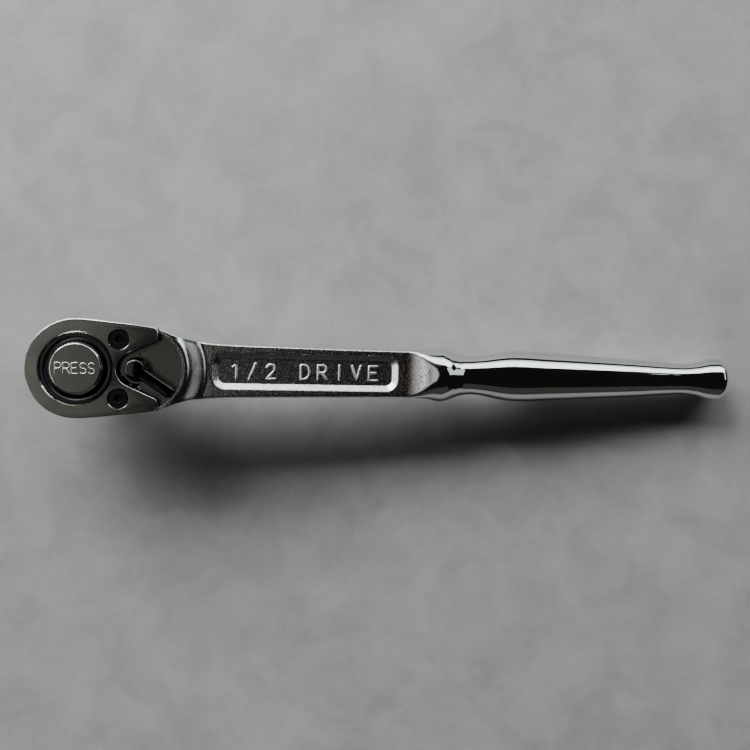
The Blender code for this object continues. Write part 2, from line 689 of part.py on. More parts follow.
def make_detent_spring(steel, lever):
    wire = 0.14 * MM
    end = PLUNGER_REACH - 2.8 * MM
    start = 0.2 * MM - DETENT_HOLE_END
    spot = (0, 0, DETENT_HEIGHT)
    spring = make_spring("detent_spring", wire, 0.6 * MM, start, end, 5, steel, spot, lever)
    spring.rotation_euler = (0, math.radians(-90), 0)
    return spring


def pawl_half_outline():
    """Upper half of the pawl about its own centre, halfway through its rock."""
    half_rock = PAWL_ROCK / 2
    unrock = Matrix.Rotation(-half_rock, 2)

    def meshed(radius, angle):
        return unrock @ (polar(radius, angle) - PAWL_CENTRE.xy)

    tip = math.radians(0.5)
    base = math.radians(2.9)
    clear = PAWL_BASE_RADIUS + 0.05 * MM
    points = [Vector((clear - PAWL_CENTRE.x + 0.1 * MM, 0))]
    points += [meshed(PAWL_BASE_RADIUS, math.radians(a)) for a in (5, 10)]
    for middle in PAWL_TEETH:
        points.append(meshed(PAWL_BASE_RADIUS, middle - base))
        points.append(meshed(PAWL_TIP_RADIUS, middle - tip))
        points.append(meshed(PAWL_TIP_RADIUS, middle + tip))
        points.append(meshed(PAWL_BASE_RADIUS, middle + base))
    heel = points.pop()
    start = math.atan2(heel.y, heel.x)
    points += arc((0, 0), PAWL_RADIUS, start, math.radians(66), 8)
    stem = PIVOT.xy - PAWL_CENTRE.xy
    points += arc(stem, STEM_RELIEF, math.radians(118), math.pi, 8)
    return points


def make_pawl(steel):
    """Double-ended pawl. Its back is hollowed where the detent plunger sweeps."""
    half = pawl_half_outline()
    outline = half + mirrored(half[1:-1])
    build = extruded(outline, PAWL_BOTTOM, PAWL_TOP)
    pawl = place("pawl", build, steel, at=PAWL_CENTRE, turn=PAWL_ROCK / 2)
    clear = 0.6 * MM
    sweep = PLUNGER_REACH + clear
    tall = PLUNGER_RADIUS + clear / 2
    profile = [(sweep, DETENT_HEIGHT + tall), (sweep, DETENT_HEIGHT - tall)]
    hollow = place("cut_plunger_sweep", turned(profile, 40), at=PIVOT)
    combine(pawl, hollow)
    return pawl


def make_button_spring(steel, gear):
    gap = 0.3 * MM
    low = SPRING_FLOOR + gap
    high = BUTTON_BOTTOM - gap
    return make_spring("button_spring", 0.45 * MM, 4.2 * MM, low, high, 5.5, steel, parent=gear)


def main():
    clear_scene()
    chrome = finish("polished_chrome", (0.62, 0.63, 0.64), 0.08)
    satin = finish("satin_steel", (0.22, 0.225, 0.21), 0.38)
    black = finish("blackened_steel", (0.03, 0.03, 0.032), 0.3)
    bright = finish("bright_steel", (0.5, 0.5, 0.5), 0.2)
    make_handle_body(chrome)
    make_cover_plate(satin)
    make_cover_screw("cover_screw_1", 1, black)
    make_cover_screw("cover_screw_2", -1, black)
    gear = make_drive_gear(black)
    make_drive_ball(bright, gear)
    button = make_push_button(satin, gear)
    make_release_rod(bright, button)
    make_button_spring(bright, gear)
    lever = make_reverse_lever(black)
    make_detent_plunger(bright, lever)
    make_detent_spring(bright, lever)
    make_pawl(black)


main()
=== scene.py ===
import math

import bmesh
import bpy
from mathutils import Matrix, Vector


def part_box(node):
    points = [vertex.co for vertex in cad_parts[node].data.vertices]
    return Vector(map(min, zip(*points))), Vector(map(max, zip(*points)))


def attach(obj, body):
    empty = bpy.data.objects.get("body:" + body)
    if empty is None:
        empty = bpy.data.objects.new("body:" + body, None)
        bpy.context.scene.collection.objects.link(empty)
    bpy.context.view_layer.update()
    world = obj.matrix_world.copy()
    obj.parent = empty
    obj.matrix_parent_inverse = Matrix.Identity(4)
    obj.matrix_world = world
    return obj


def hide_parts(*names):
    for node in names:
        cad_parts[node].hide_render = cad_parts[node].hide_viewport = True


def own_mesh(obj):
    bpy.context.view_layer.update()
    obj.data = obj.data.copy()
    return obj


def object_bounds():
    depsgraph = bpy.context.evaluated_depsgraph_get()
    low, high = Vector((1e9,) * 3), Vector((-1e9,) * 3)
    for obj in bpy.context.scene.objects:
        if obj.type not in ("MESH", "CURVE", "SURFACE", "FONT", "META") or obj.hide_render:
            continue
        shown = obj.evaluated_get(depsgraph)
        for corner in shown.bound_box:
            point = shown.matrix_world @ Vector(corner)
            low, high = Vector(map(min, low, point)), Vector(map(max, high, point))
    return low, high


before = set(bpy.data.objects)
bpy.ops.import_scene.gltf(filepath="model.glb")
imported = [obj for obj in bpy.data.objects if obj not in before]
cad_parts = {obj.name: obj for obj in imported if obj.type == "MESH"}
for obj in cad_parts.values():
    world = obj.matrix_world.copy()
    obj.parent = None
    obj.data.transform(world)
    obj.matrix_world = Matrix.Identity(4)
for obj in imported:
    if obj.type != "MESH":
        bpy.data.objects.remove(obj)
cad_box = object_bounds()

MM = 0.001
MERGE = 0.0005 * MM       # vertices closer than this are one

# Levels and places read from the frame
plate_low, plate_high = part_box("cover_plate")
button_low, button_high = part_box("push_button")
ball_low, ball_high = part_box("drive_ball")
screw_low, screw_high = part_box("cover_screw_1")
HEAD_TOP = plate_high.z
PLATE_BOTTOM = plate_low.z
BUTTON_TOP = button_high.z
BUTTON_RADIUS = (button_high.x - button_low.x) / 2
SCREW_X = (screw_low.x + screw_high.x) / 2
SCREW_Y = (screw_low.y + screw_high.y) / 2

# Forged body. The tables hold (place along the handle, half width or radius) in mm.
HEAD_BOTTOM = 16.5 * MM
SEAT = 35.0 * MM
HEAD_RADIUS = 16.8 * MM
HALF_WIDTH = [
    (0, 16.8), (12, 15.85), (24.5, 14.45), (28.9, 13.1), (32.3, 11.85),
    (35.8, 10.9), (39.4, 10.3), (44, 9.8), (50, 9.45), (60, 9.2),
    (116, 8.45), (120, 8.75), (125, 9.75),
]
NECK_START = 30.0 * MM
NECK_END = 43.0 * MM
BELLY_START = 21.0 * MM
SHANK_HALF_THICKNESS = 5.5 * MM
SHANK_END = 112.0 * MM
SHANK_EDGE = 1.1 * MM
HEAD_LOWER_EDGE = 2.6 * MM
HEAD_UPPER_EDGE = 0.4 * MM
HANDLE_AXIS = 27.0 * MM
COLLAR_RIDGE = 125.0 * MM
HANDLE_RADIUS = [
    (125, 9.75), (126.8, 9.4), (129.5, 8.4), (133, 7.3), (136.2, 6.95), (139.5, 7.25),
    (146.5, 8.6), (151, 9.15), (155, 9.25), (164, 8.8), (183, 7.75), (198, 6.85),
    (209, 6.05), (215.5, 5.75), (220, 6.2), (224.5, 7.4), (227.9, 7.8),
]
KNOB_START = 227.9 * MM
KNOB_RADIUS = 7.8 * MM
KNOB_EDGE = 5.8 * MM
HANDLE_END = cad_box[1][0]
PANEL_START = 44.6 * MM
PANEL_END = 109.0 * MM
PANEL_HALF_WIDTH = 6.2 * MM
PANEL_CORNER = 4.3 * MM
PANEL_DEPTH = 1.5 * MM
PANEL_WALL = 2.1 * MM
POCKET_CENTRE = 21.0 * MM
POCKET_RADIUS = 14.1 * MM
RIM_RADIUS = 15.1 * MM
NECK_RADIUS = 22.0 * MM
HORN_END = 26.9 * MM

# Drive gear, its bores and the chamber that it turns in
CHAMBER_FLOOR = 20.5 * MM
CHAMBER_RADIUS = 13.2 * MM
TOOTH_COUNT = 48
TOOTH_TIP_RADIUS = 12.9 * MM
TOOTH_ROOT_RADIUS = 12.15 * MM
TOOTH_BOTTOM = 20.8 * MM
TOOTH_TOP = 33.6 * MM
SHOULDER_RADIUS = 12.6 * MM
SHOULDER_BOTTOM = 32.6 * MM
SHOULDER_TOP = 34.9 * MM
UPPER_JOURNAL = 11.9 * MM
LOWER_JOURNAL = 11.0 * MM
RING_TOP = 37.4 * MM      # the dark ring round the button, and its dished middle
RING_DISH = 36.5 * MM
GEAR_FOOT = 16.0 * MM     # where the square leaves the lower journal
BUTTON_BORE = 9.2 * MM
SQUARE = 12.7 * MM
BALL_HEIGHT = (ball_low.z + ball_high.z) / 2

# Pawl's pocket and cover screws
PAWL_POCKET_CENTRE = 15.0 * MM
PAWL_POCKET_RADIUS = 7.5 * MM
SCREW_RADIUS = 1.5 * MM
THREAD_PITCH = 0.5 * MM
COUNTERSINK_RADIUS = 3.45 * MM

# Reversing lever
PIVOT = Vector((19.7 * MM, 0, 0))
LEVER_REST = math.radians(-34.0)
LEVER_REACH = 14.8 * MM
FLANGE_BOTTOM = 33.9 * MM
FLANGE_TOP = 34.9 * MM
FLANGE_RADIUS = 4.9 * MM
LOBE_RADIUS = 6.7 * MM
LOBE_HALF_ANGLE = math.radians(60.0)
BOSS_TOP = 40.4 * MM
BOSS_RADIUS = 3.5 * MM
BOSS_DOME = 1.3 * MM
STEM_RADIUS = 3.2 * MM
STEM_BOTTOM = 21.3 * MM
RIB_TOP = 39.7 * MM
NOTCH_CENTRE = Vector((19.0 * MM, 0))
NOTCH_RADIUS = 5.85 * MM
NOTCH_ANGLE = math.radians(24.6)

# Finishes
CHROME = (0.8, 0.81, 0.82)
FLATS_START = (41.5 * MM, 44.5 * MM)      # where the shank's brown flats fade in
FLATS_END = (117.5 * MM, 113.5 * MM)
GRAIN_END = (126.5 * MM, 116.5 * MM)      # where the forged grain fades out


# ---------------------------------------------------------------- shapes

def polar(radius, angle):
    return Vector((radius * math.cos(angle), radius * math.sin(angle)))


def arc(centre, radius, start, end, steps):
    """Points of an arc from one angle to another, both ends included."""
    turn = (end - start) / steps
    return [Vector(centre) + polar(radius, start + turn * i) for i in range(steps + 1)]


def mirrored(points):
    return [Vector((p.x, -p.y)) for p in reversed(points)]


def mix(a, b, t):
    return a + (b - a) * t


def between(x, start, end):
    return min(max((x - start) / (end - start), 0.0), 1.0)


def through(stations, x):
    """Value at x of the smooth curve through (x, value) stations, without overshoot."""
    knots = [(a * MM, b * MM) for a, b in stations]
    if x <= knots[0][0]:
        return knots[0][1]
    if x >= knots[-1][0]:
        return knots[-1][1]
    rises = [(b[1] - a[1]) / (b[0] - a[0]) for a, b in zip(knots, knots[1:])]
    slopes = [0.0]
    for before, after in zip(rises, rises[1:]):
        same_way = before * after > 0
        slopes.append(2 * before * after / (before + after) if same_way else 0.0)
    slopes.append(0.0)
    i = max(k for k in range(len(rises)) if knots[k][0] <= x)
    width = knots[i + 1][0] - knots[i][0]
    t = (x - knots[i][0]) / width
    rise = knots[i + 1][1] - knots[i][1]
    bend = slopes[i] * width * t * (1 - t) ** 2 - slopes[i + 1] * width * t**2 * (1 - t)
    return knots[i][1] + rise * t * t * (3 - 2 * t) + bend


def piece(name, build, materials=(), sharp=28):
    """A named object at the origin from a bmesh, with clean normals."""
    bmesh.ops.remove_doubles(build, verts=build.verts, dist=MERGE)
    bmesh.ops.recalc_face_normals(build, faces=build.faces)
    mesh = bpy.data.meshes.new(name)
    build.to_mesh(mesh)
    build.free()
    made = bpy.data.objects.new(name, mesh)
    bpy.context.scene.collection.objects.link(made)
    for material in materials:
        mesh.materials.append(material)
    mesh.shade_smooth()
    mesh.set_sharp_from_angle(angle=math.radians(sharp))
    return made


def carve(target, *steps, sharp=28):
    """Cuts tools from the target or joins them on, and keeps only the result."""
    for operation, tool in steps:
        change = target.modifiers.new(tool.name, "BOOLEAN")
        change.operation = operation
        change.solver = "EXACT"
        change.object = tool
    bpy.context.view_layer.update()
    seen = target.evaluated_get(bpy.context.evaluated_depsgraph_get())
    result = bpy.data.meshes.new_from_object(seen)
    target.modifiers.clear()
    old = target.data
    target.data = result
    result.name = target.name
    bpy.data.meshes.remove(old)
    for _, tool in steps:
        bpy.data.objects.remove(tool)
    result.shade_smooth()
    result.set_sharp_from_angle(angle=math.radians(sharp))
    return target


def add_loop(build, points):
    verts = [build.verts.new(p) for p in points]
    return [build.edges.new(pair) for pair in zip(verts, verts[1:] + verts[:1])]


def loft(build, loops):
    for lower, upper in zip(loops, loops[1:]):
        bmesh.ops.bridge_loops(build, edges=lower + upper)


def extruded(outline, bottom, top):
    build = bmesh.new()
    face = build.faces.new([build.verts.new((p.x, p.y, bottom)) for p in outline])
    result = bmesh.ops.extrude_face_region(build, geom=[face])
    raised = [v for v in result["geom"] if isinstance(v, bmesh.types.BMVert)]
    bmesh.ops.translate(build, verts=raised, vec=(0, 0, top - bottom))
    return build


def turned(profile, steps=96, centre=(0, 0, 0)):
    """A solid of revolution about +Z from (radius, height) points, top to bottom."""
    build = bmesh.new()
    closed = [(0.0, profile[0][1]), *profile, (0.0, profile[-1][1])]
    verts = [build.verts.new((r, 0, z)) for r, z in closed]
    edges = [build.edges.new(pair) for pair in zip(verts, verts[1:])]
    bmesh.ops.spin(
        build, geom=verts + edges, cent=(0, 0, 0), axis=(0, 0, 1), dvec=(0, 0, 0),
        angle=math.tau, steps=steps, use_merge=True, use_duplicate=False,
    )
    bmesh.ops.remove_doubles(build, verts=build.verts, dist=MERGE)
    bmesh.ops.translate(build, verts=build.verts, vec=centre)
    return build


def rounded(corners, radius, steps=4):
    """A (radius, height) profile with its inner corners rounded by short arcs."""
    points = [Vector(corners[0])]
    for before, here, after in zip(corners, corners[1:], corners[2:]):
        before, here, after = Vector(before), Vector(here), Vector(after)
        into = (before - here)
        out = (after - here)
        room = min(radius, 0.45 * into.length, 0.45 * out.length)
        start = here + into.normalized() * room
        end = here + out.normalized() * room
        for i in range(steps + 1):
            t = i / steps
            points.append(start.lerp(here, t).lerp(here.lerp(end, t), t))
    points.append(Vector(corners[-1]))
    return [tuple(p) for p in points]


def bevel(build, edges, width, segments=3):
    bmesh.ops.bevel(
        build, geom=edges, offset=width, segments=segments, profile=0.5,
        affect="EDGES", material=-1, clamp_overlap=True,
    )


def edges_at(build, z):
    near = 0.001 * MM
    return [e for e in build.edges if all(abs(v.co.z - z) < near for v in e.verts)]


def tint_slopes(made, index, low=0.15, high=0.97):
    """Gives the slanted faces, between flats and walls, another of the piece's materials."""
    for face in made.data.polygons:
        if low < abs(face.normal.z) < high:
            face.material_index = index


# ---------------------------------------------------------------- materials

def new_group(name, inputs, outputs):
    group = bpy.data.node_groups.new(name, "ShaderNodeTree")
    for label, kind, value in inputs:
        socket = group.interface.new_socket(label, in_out="INPUT", socket_type=kind)
        if value is not None:
            socket.default_value = value
    for label, kind in outputs:
        group.interface.new_socket(label, in_out="OUTPUT", socket_type=kind)
    return group, group.nodes.new("NodeGroupInput"), group.nodes.new("NodeGroupOutput")


def add_node(tree, kind, links=(), **settings):
    """A node with settings, its inputs linked from sockets or set to values."""
    node = tree.nodes.new(kind)
    for key, value in settings.items():
        setattr(node, key, value)
    for target, source in links:
        if isinstance(source, bpy.types.NodeSocket):
            tree.links.new(source, node.inputs[target])
        else:
            node.inputs[target].default_value = source
    return node


def make_smudge_group():
    """Handling marks: soft cloudy smears and fine speckle, each from 0 to 1."""
    group, given, out = new_group(
        "handling_marks",
        [("Vector", "NodeSocketVector", None), ("Smear Scale", "NodeSocketFloat", 60.0),
         ("Speckle Scale", "NodeSocketFloat", 2400.0)],
        [("Smear", "NodeSocketFloat"), ("Speckle", "NodeSocketFloat")],
    )
    smear = add_node(group, "ShaderNodeTexNoise", [
        ("Vector", given.outputs["Vector"]), ("Scale", given.outputs["Smear Scale"]),
        ("Detail", 4.0), ("Roughness", 0.6), ("Distortion", 0.6)])
    shaped = add_node(group, "ShaderNodeMapRange", [
        ("Value", smear.outputs["Fac"]), ("From Min", 0.42), ("From Max", 0.68)])
    grain = add_node(group, "ShaderNodeTexNoise", [
        ("Vector", given.outputs["Vector"]), ("Scale", given.outputs["Speckle Scale"]),
        ("Detail", 2.0), ("Roughness", 0.5)])
    dots = add_node(group, "ShaderNodeMapRange", [
        ("Value", grain.outputs["Fac"]), ("From Min", 0.5), ("From Max", 0.72)])
    group.links.new(shaped.outputs["Result"], out.inputs["Smear"])
    group.links.new(dots.outputs["Result"], out.inputs["Speckle"])
    return group


def make_peel_group():
    """Orange peel of plating over a forging: a height that rolls and pits."""
    group, given, out = new_group(
        "plated_forging",
        [("Vector", "NodeSocketVector", None), ("Roll Scale", "NodeSocketFloat", 500.0),
         ("Pit Scale", "NodeSocketFloat", 1500.0), ("Pits", "NodeSocketFloat", 0.4)],
        [("Height", "NodeSocketFloat")],
    )
    roll = add_node(group, "ShaderNodeTexNoise", [
        ("Vector", given.outputs["Vector"]), ("Scale", given.outputs["Roll Scale"]),
        ("Detail", 1.5)])
    pit = add_node(group, "ShaderNodeTexNoise", [
        ("Vector", given.outputs["Vector"]), ("Scale", given.outputs["Pit Scale"]),
        ("Detail", 3.0)])
    deep = add_node(group, "ShaderNodeMapRange", [
        ("Value", pit.outputs["Fac"]), ("From Min", 0.35), ("From Max", 0.55)])
    weigh = add_node(group, "ShaderNodeMath", [
        (0, deep.outputs["Result"]), (1, given.outputs["Pits"])], operation="MULTIPLY")
    total = add_node(group, "ShaderNodeMath", [
        (0, roll.outputs["Fac"]), (1, weigh.outputs["Value"])], operation="ADD")
    group.links.new(total.outputs["Value"], out.inputs["Height"])
    return group


def new_material(name, colour, roughness, metallic=1.0, **sockets):
    material = bpy.data.materials.new(name)
    material.use_nodes = True
    shader = material.node_tree.nodes["Principled BSDF"]
    shader.inputs["Base Color"].default_value = (*colour, 1.0)
    shader.inputs["Roughness"].default_value = roughness
    shader.inputs["Metallic"].default_value = metallic
    for key, value in sockets.items():
        shader.inputs[key].default_value = value
    return material, material.node_tree, shader


def use_group(tree, group, **inputs):
    node = tree.nodes.new("ShaderNodeGroup")
    node.node_tree = group
    place = tree.nodes.new("ShaderNodeTexCoord")
    tree.links.new(place.outputs["Object"], node.inputs["Vector"])
    for key, value in inputs.items():
        node.inputs[key.replace("_", " ")].default_value = value
    return node


def ramp_between(tree, factor, low, high):
    """A number that goes from low to high with a factor from 0 to 1."""
    return add_node(tree, "ShaderNodeMapRange", [
        ("Value", factor), ("To Min", low), ("To Max", high)]).outputs["Result"]


def blend_colour(tree, factor, first, second):
    node = add_node(tree, "ShaderNodeMix", [("Factor", factor)], data_type="RGBA")
    for socket, value in ((node.inputs[6], first), (node.inputs[7], second)):
        if isinstance(value, bpy.types.NodeSocket):
            tree.links.new(value, socket)
        else:
            socket.default_value = (*value, 1.0)
    return node.outputs[2]


def add_bump(tree, shader, height, strength, distance):
    bump = add_node(tree, "ShaderNodeBump", [
        ("Height", height), ("Strength", strength), ("Distance", distance)])
    tree.links.new(bump.outputs["Normal"], shader.inputs["Normal"])


def shank_flat_mask(tree):
    """1 on the flat faces of the shank between the neck and the collar, else 0."""
    place = tree.nodes.new("ShaderNodeTexCoord")
    where = add_node(tree, "ShaderNodeSeparateXYZ", [("Vector", place.outputs["Object"])])
    facing = add_node(tree, "ShaderNodeSeparateXYZ", [("Vector", place.outputs["Normal"])])
    start = add_node(tree, "ShaderNodeMapRange", [
        ("Value", where.outputs["X"]), ("From Min", FLATS_START[0]),
        ("From Max", FLATS_START[1])])
    end = add_node(tree, "ShaderNodeMapRange", [
        ("Value", where.outputs["X"]), ("From Min", FLATS_END[0]),
        ("From Max", FLATS_END[1])])
    level = add_node(tree, "ShaderNodeMath", [
        (0, facing.outputs["Z"]), (1, facing.outputs["Z"])], operation="MULTIPLY")
    flat = add_node(tree, "ShaderNodeMapRange", [
        ("Value", level.outputs["Value"]), ("From Min", 0.55), ("From Max", 0.9)])
    both = add_node(tree, "ShaderNodeMath", [
        (0, start.outputs["Result"]), (1, end.outputs["Result"])], operation="MULTIPLY")
    return add_node(tree, "ShaderNodeMath", [
        (0, both.outputs["Value"]), (1, flat.outputs["Result"])],
        operation="MULTIPLY").outputs["Value"]


def forged_mask(tree):
    """1 on the head, neck and shank, whose forged grain shows, and 0 on the turned handle."""
    place = tree.nodes.new("ShaderNodeTexCoord")
    where = add_node(tree, "ShaderNodeSeparateXYZ", [("Vector", place.outputs["Object"])])
    return add_node(tree, "ShaderNodeMapRange", [
        ("Value", where.outputs["X"]), ("From Min", GRAIN_END[0]),
        ("From Max", GRAIN_END[1])]).outputs["Result"]


def chrome_forging(marks, peel):
    """Mirror chrome on the handle, grainy on the neck, and brown on the shank's flats."""
    material, tree, shader = new_material("chrome_forging", CHROME, 0.05)
    flat = shank_flat_mask(tree)
    forged = forged_mask(tree)
    worn = use_group(tree, marks, Smear_Scale=45.0, Speckle_Scale=2600.0)
    mirror = add_node(tree, "ShaderNodeMath", [
        (0, ramp_between(tree, worn.outputs["Smear"], 0.035, 0.085)),
        (1, ramp_between(tree, forged, 0.0, 0.12))], operation="ADD").outputs["Value"]
    satin = ramp_between(tree, worn.outputs["Speckle"], 0.2, 0.34)
    rough = add_node(tree, "ShaderNodeMix", [
        ("Factor", flat), (2, mirror), (3, satin)], data_type="FLOAT")
    tree.links.new(rough.outputs[0], shader.inputs["Roughness"])
    brown = blend_colour(tree, worn.outputs["Speckle"], (0.3, 0.275, 0.27), (0.62, 0.56, 0.54))
    colour = blend_colour(tree, flat, CHROME, brown)
    tree.links.new(colour, shader.inputs["Base Color"])
    grain = use_group(tree, peel, Roll_Scale=700.0, Pit_Scale=2200.0, Pits=0.7)
    both = add_node(tree, "ShaderNodeMath", [(0, forged), (1, flat)])
    depth = add_node(tree, "ShaderNodeMapRange", [
        ("Value", both.outputs["Value"]), ("From Max", 2.0), ("To Min", 0.03), ("To Max", 1.0)])
    height = add_node(tree, "ShaderNodeMath", [
        (0, grain.outputs["Height"]), (1, depth.outputs["Result"])], operation="MULTIPLY")
    add_bump(tree, shader, height.outputs["Value"], 0.35, 0.12 * MM)
    return material


def satin_plating(marks, peel, name, grain_depth):
    """Dark satin steel of the cover, the button and, with a deeper grain, the pocket."""
    material, tree, shader = new_material(name, (0.18, 0.184, 0.17), 0.3)
    worn = use_group(tree, marks, Smear_Scale=110.0, Speckle_Scale=5200.0)
    colour = blend_colour(tree, worn.outputs["Smear"], (0.165, 0.169, 0.155), (0.2, 0.203, 0.187))
    tree.links.new(colour, shader.inputs["Base Color"])
    rough = ramp_between(tree, worn.outputs["Speckle"], 0.26, 0.36)
    tree.links.new(rough, shader.inputs["Roughness"])
    grain = use_group(tree, peel, Roll_Scale=2600.0, Pit_Scale=6500.0, Pits=0.5)
    add_bump(tree, shader, grain.outputs["Height"], 0.12, grain_depth)
    return material


def buffed_metal(marks, name, colour, roughness):
    """Bright buffed metal of a chamfer or of raised letters."""
    material, tree, shader = new_material(name, colour, roughness)
    worn = use_group(tree, marks, Smear_Scale=420.0, Speckle_Scale=6000.0)
    rough = ramp_between(tree, worn.outputs["Smear"], roughness * 0.7, roughness * 1.6)
    tree.links.new(rough, shader.inputs["Roughness"])
    return material


def turned_black(name, colour, roughness, ring_scale):
    """Blackened steel with the fine rings that turning leaves round the drive axis."""
    material, tree, shader = new_material(name, colour, roughness)
    place = tree.nodes.new("ShaderNodeTexCoord")
    where = add_node(tree, "ShaderNodeSeparateXYZ", [("Vector", place.outputs["Object"])])
    flat = add_node(tree, "ShaderNodeCombineXYZ", [
        ("X", where.outputs["X"]), ("Y", where.outputs["Y"])])
    radius = add_node(tree, "ShaderNodeVectorMath", [
        (0, flat.outputs["Vector"])], operation="LENGTH")
    line = add_node(tree, "ShaderNodeCombineXYZ", [("X", radius.outputs["Value"])])
    rings = add_node(tree, "ShaderNodeTexNoise", [
        ("Vector", line.outputs["Vector"]), ("Scale", ring_scale), ("Detail", 2.0)])
    add_bump(tree, shader, rings.outputs["Fac"], 0.15, 0.03 * MM)
    tree.links.new(ramp_between(tree, rings.outputs["Fac"], roughness * 0.7, roughness * 1.3),
                   shader.inputs["Roughness"])
    return material


def dark_chrome(marks, peel):
    """Black-looking chrome of the thumb lever."""
    material, tree, shader = new_material("dark_chrome", (0.055, 0.055, 0.058), 0.09)
    worn = use_group(tree, marks, Smear_Scale=260.0, Speckle_Scale=5000.0)
    rough = ramp_between(tree, worn.outputs["Smear"], 0.06, 0.14)
    tree.links.new(rough, shader.inputs["Roughness"])
    grain = use_group(tree, peel, Roll_Scale=1400.0, Pit_Scale=4200.0, Pits=0.3)
    add_bump(tree, shader, grain.outputs["Height"], 0.15, 0.05 * MM)
    return material


def ground_steel(marks):
    """Bright ground steel of the ball and the inner pieces."""
    material, tree, shader = new_material("ground_steel", (0.62, 0.62, 0.6), 0.2)
    worn = use_group(tree, marks, Smear_Scale=300.0, Speckle_Scale=7000.0)
    rough = ramp_between(tree, worn.outputs["Smear"], 0.14, 0.3)
    tree.links.new(rough, shader.inputs["Roughness"])
    return material


# ---------------------------------------------------------------- forged body

def crown(x, y, shank_top):
    """Height of the top face, which falls to the shank beyond an arc round the pocket."""
    if x <= POCKET_CENTRE:
        return HEAD_TOP
    past = between(math.hypot(x - POCKET_CENTRE, y), RIM_RADIUS, NECK_RADIUS)
    return mix(HEAD_TOP, shank_top, past * past * (3 - 2 * past))


def body_section(x):
    """Half width, bottom, shank top, lower and upper edge radius and roundness at x."""
    if x >= COLLAR_RIDGE:
        radius = through(HANDLE_RADIUS, x)
        if x > KNOB_START:
            past = min((x - KNOB_START) / (HANDLE_END - KNOB_START), 0.998)
            radius = KNOB_RADIUS - KNOB_EDGE * (1 - math.sqrt(1 - past * past))
        return radius, HANDLE_AXIS - radius, HANDLE_AXIS + radius, radius, radius, 1.0
    half = through(HALF_WIDTH, x)
    ramp = (1 - math.cos(between(x, SHANK_END, COLLAR_RIDGE) * math.pi)) / 2
    thick = mix(SHANK_HALF_THICKNESS, HALF_WIDTH[-1][1] * MM, ramp)
    neck = between(x, NECK_START, NECK_END)
    belly = between(x, BELLY_START, NECK_END)
    bottom = mix(HEAD_BOTTOM, HANDLE_AXIS - thick, belly * belly * (3 - 2 * belly))
    edge = mix(SHANK_EDGE, min(half, thick), ramp)
    lower = mix(HEAD_LOWER_EDGE, edge, belly)
    upper = mix(HEAD_UPPER_EDGE, edge, neck)
    return half, bottom, HANDLE_AXIS + thick, lower, upper, ramp


def section_points(x, corner_steps=14, across=12):
    """Right half of the body's section at x, from its top middle to its bottom middle."""
    half, bottom, shank_top, lower, upper, roundness = body_section(x)
    step = mix(math.radians(90), math.radians(84), roundness) / corner_steps
    turn = math.radians(45) + step * corner_steps / 2
    flat = half - upper
    corner_height = crown(x, flat, shank_top) - upper
    points = []
    for i in range(across):
        y = (flat + upper * math.cos(turn)) * i / across
        rounding = math.sqrt(upper**2 - max(y - flat, 0.0) ** 2) - upper
        points.append((y, crown(x, min(y, flat), shank_top) + rounding))
    for radius, height, first in ((upper, corner_height, turn),
                                  (lower, bottom + lower, turn - math.pi / 2)):
        for i in range(corner_steps + 1):
            spoke = polar(radius, first - step * i)
            points.append((half - radius + spoke.x, height + spoke.y))
    points.append((0.0, bottom))
    return points


def body_stations():
    """Places along the handle where the body gets a section, closer where it curves."""
    runs = [(0, 21, 10), (21, 27, 6), (27, 43, 44), (43, 60, 10), (60, 112, 6)]
    runs += [(112, 125, 30), (125, 158, 70), (158, 206, 40), (206, 227.9, 44)]
    stations = []
    for start, end, count in runs:
        stations += [mix(start, end, i / count) * MM for i in range(count)]
    knob_steps = 18
    for i in range(knob_steps + 1):
        turn = math.pi / 2 * i / knob_steps
        stations.append(mix(KNOB_START, HANDLE_END, math.sin(turn)))
    return stations


def panel_ring(inset, z, steps=16):
    """Rounded outline of the shank panel, drawn in from its edge by an inset."""
    corner = PANEL_CORNER - inset
    left = PANEL_START + PANEL_CORNER
    right = PANEL_END - PANEL_CORNER
    high = PANEL_HALF_WIDTH - PANEL_CORNER
    quarter = math.pi / 2
    corners = [(right, high), (left, high), (left, -high), (right, -high)]
    points = []
    for turn, centre in enumerate(corners):
        points += arc(centre, corner, turn * quarter, (turn + 1) * quarter, steps)
    return [(p.x, p.y, z) for p in points]


def panel_plug(side):
    """Plug for the sunk panel, with a rolled lip, a sloped wall and a rounded foot."""
    face = SHANK_HALF_THICKNESS
    floor = face - PANEL_DEPTH
    lip, lip_drop = 0.35 * MM, 0.22 * MM
    foot, foot_rise = 0.4 * MM, 0.16 * MM
    above = 0.6 * MM
    steps = 5
    levels = [(-lip, face + above)]
    for i in range(steps + 1):
        t = i / steps
        levels.append((-lip * (1 - t) ** 2, face - lip_drop * t * t * (2 - t)))
    slope_end = PANEL_WALL - foot
    for i in range(steps + 1):
        t = i / steps
        levels.append((slope_end + foot * t, floor + foot_rise * (1 - t) ** 2))
    build = bmesh.new()
    loops = [add_loop(build, panel_ring(inset, HANDLE_AXIS + side * height))
             for inset, height in levels]
    loft(build, loops)
    bmesh.ops.edgeloop_fill(build, edges=loops[0])
    bmesh.ops.edgeloop_fill(build, edges=loops[-1])
    return piece(f"plug_{side}", build)


